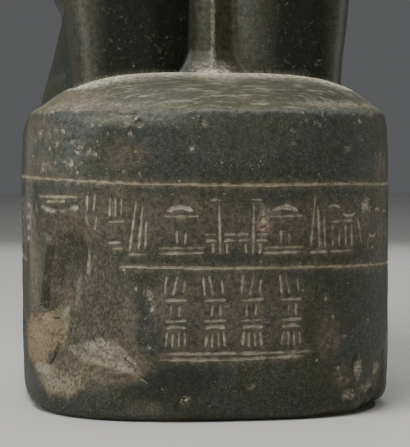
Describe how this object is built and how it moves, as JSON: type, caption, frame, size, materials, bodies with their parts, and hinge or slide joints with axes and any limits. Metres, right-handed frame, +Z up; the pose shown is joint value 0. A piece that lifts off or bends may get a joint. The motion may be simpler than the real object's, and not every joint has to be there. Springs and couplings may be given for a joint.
{
  "type": "naophorous statue",
  "caption": "Stone statue of a kneeling man who holds a small shrine on his lap, with a back pillar, on a tall rounded base with bands of shallow strokes and a broken corner.",
  "frame": {"origin": "middle of the underside of the base", "axes": "+Z up, the figure faces -Y, +X is to the right of a viewer who faces it"},
  "size_m": [0.1998, 0.2897, 0.588],
  "materials": {
    "stone": "satin"
  },
  "bodies": {
    "root": {"naophorous_statue": "stone"}
  },
  "joints": []
}
